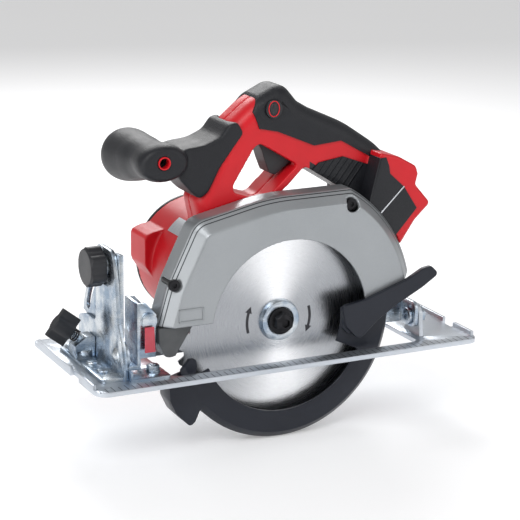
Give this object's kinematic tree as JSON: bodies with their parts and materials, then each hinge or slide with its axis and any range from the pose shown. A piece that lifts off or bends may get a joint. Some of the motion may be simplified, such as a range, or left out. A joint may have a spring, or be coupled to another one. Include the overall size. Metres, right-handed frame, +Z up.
{
  "type": "circular saw",
  "caption": "Cordless circular saw with a guarded disc blade, a closed rear grip, a front bar grip and a flat shoe that tilts for bevels and swings for depth.",
  "frame": {"origin": "on the sole of the shoe, level with the blade's arbor along X, in the middle of the broad side of the shoe beside the blade slot", "axes": "+X from the front of the saw to its rear, +Y from the blade side to the motor side, +Z up from the sole"},
  "size_m": [0.3162, 0.1514, 0.2554],
  "materials": {
    "red_nylon": "satin moulded nylon",
    "black_nylon": "moulded, fine texture",
    "soft_grip": "pebbled soft grip",
    "grey_guard": "silver paint",
    "nose_casting": "die cast, painted grey",
    "dark_guard": "satin charcoal",
    "zinc_steel": "bright zinc",
    "dark_steel": "black oxide",
    "bright_steel": "ground",
    "blade_steel": "ground and lacquered",
    "shoe_metal": "rolled, satin",
    "lamination": "dull",
    "copper": "varnished copper",
    "carbon": "pressed carbon",
    "label_foil": "printed foil, blank"
  },
  "bodies": {
    "shoe": {"shoe_plate": "shoe_metal", "bevel_bracket": "zinc_steel", "shoe_rivets": "zinc_steel", "shoe_studs": "zinc_steel", "front_pivot_rivet": "zinc_steel", "rear_pivot_bolt": "zinc_steel", "sight_bracket": "zinc_steel", "fence_clamp": "zinc_steel", "fence_spring": "dark_steel", "bevel_bolt": "zinc_steel", "bevel_washer": "zinc_steel"},
    "bevel_knob": {"bevel_knob": "black_nylon"},
    "fence_knob": {"fence_knob": "black_nylon", "fence_screw": "zinc_steel"},
    "tilt_frame": {"tilt_bracket": "zinc_steel", "depth_bracket": "zinc_steel", "depth_pivot_pin": "zinc_steel"},
    "head": {"upper_guard": "grey_guard", "guard_screws": "dark_steel", "guard_nose": "nose_casting", "guard_spring": "dark_steel", "gear_case": "nose_casting", "gear_cover": "nose_casting", "spindle_bearings": "bright_steel", "motor_bearings": "bright_steel", "motor_housing": "red_nylon", "motor_cap": "black_nylon", "rating_label": "label_foil", "stator": "lamination", "brush_holder": "black_nylon", "carbon_brushes": "carbon", "handle_left": "red_nylon", "handle_right": "red_nylon", "handle_screws": "dark_steel", "grip_overmold": "soft_grip", "aux_handle": "soft_grip", "aux_handle_bolt": "dark_steel", "switch_body": "black_nylon", "trigger_spring": "dark_steel", "lock_spring": "dark_steel", "terminal_block": "black_nylon", "depth_bolt": "zinc_steel"},
    "lower_guard": {"lower_guard": "dark_guard", "guard_lever": "dark_guard"},
    "spindle": {"spindle_shaft": "bright_steel", "spindle_gear": "bright_steel", "inner_flange": "zinc_steel", "outer_flange": "zinc_steel", "blade_bolt": "dark_steel", "blade": "blade_steel"},
    "armature": {"armature_core": "lamination", "armature_windings": "copper", "armature_shaft": "bright_steel", "pinion": "bright_steel", "commutator": "copper", "fan": "black_nylon"},
    "trigger": {"trigger": "black_nylon"},
    "lock_off_button": {"lock_off_button": "black_nylon"},
    "spindle_lock": {"spindle_lock": "black_nylon"},
    "depth_lever": {"depth_lever": "black_nylon"}
  },
  "joints": [
    {"name": "bevel_tilt", "type": "hinge", "parent": "shoe", "child": "tilt_frame", "pos_m": [0, -0.062, 0.0175], "axis": [1, 0, 0], "range_deg": [0, 50]},
    {"name": "bevel_knob_turn", "type": "hinge", "parent": "shoe", "child": "bevel_knob", "pos_m": [-0.133, -0.03906, 0.07725], "axis": [1, 0, 0], "range_deg": [0, 270]},
    {"name": "fence_knob_turn", "type": "hinge", "parent": "shoe", "child": "fence_knob", "pos_m": [-0.132, -0.0175, 0.015], "axis": [-0.788, 0, 0.6157], "range_deg": [0, 270]},
    {"name": "depth_swing", "type": "hinge", "parent": "tilt_frame", "child": "head", "pos_m": [-0.105, -0.0575, 0.0425], "axis": [0, -1, 0], "range_deg": [0, 30]},
    {"name": "guard_swing", "type": "hinge", "parent": "head", "child": "lower_guard", "pos_m": [0, -0.062, 0.0285], "axis": [0, -1, 0], "range_deg": [0, 115], "stiffness_Nm_per_rad": 0.25, "springref_deg": -45.84},
    {"name": "spindle_spin", "type": "hinge", "parent": "head", "child": "spindle", "pos_m": [0, -0.062, 0.0285], "axis": [0, -1, 0], "continuous": true},
    {"name": "armature_spin", "type": "hinge", "parent": "head", "child": "armature", "pos_m": [-0.01663, -0.002, 0.05226], "axis": [0, -1, 0], "continuous": true},
    {"name": "trigger_pull", "type": "slide", "parent": "head", "child": "trigger", "axis": [0.9404, 0, 0.3401], "range_m": [0, 0.006], "stiffness_N_per_m": 700, "springref_m": -0.004, "deforming": ["trigger_spring"]},
    {"name": "lock_off_push", "type": "slide", "parent": "head", "child": "lock_off_button", "axis": [0, 1, 0], "range_m": [0, 0.0025], "stiffness_N_per_m": 600, "springref_m": -0.002},
    {"name": "spindle_lock_push", "type": "slide", "parent": "head", "child": "spindle_lock", "axis": [1, 0, 0], "range_m": [0, 0.002], "stiffness_N_per_m": 800, "springref_m": -0.002, "deforming": ["lock_spring"]},
    {"name": "depth_lever_turn", "type": "hinge", "parent": "head", "child": "depth_lever", "pos_m": [0.04418, -0.038, 0.02682], "axis": [0, 1, 0], "range_deg": [0, 35]}
  ],
  "couplings": [
    {"joint": "armature_spin", "follows": "spindle_spin", "ratio": -3.8333}
  ]
}
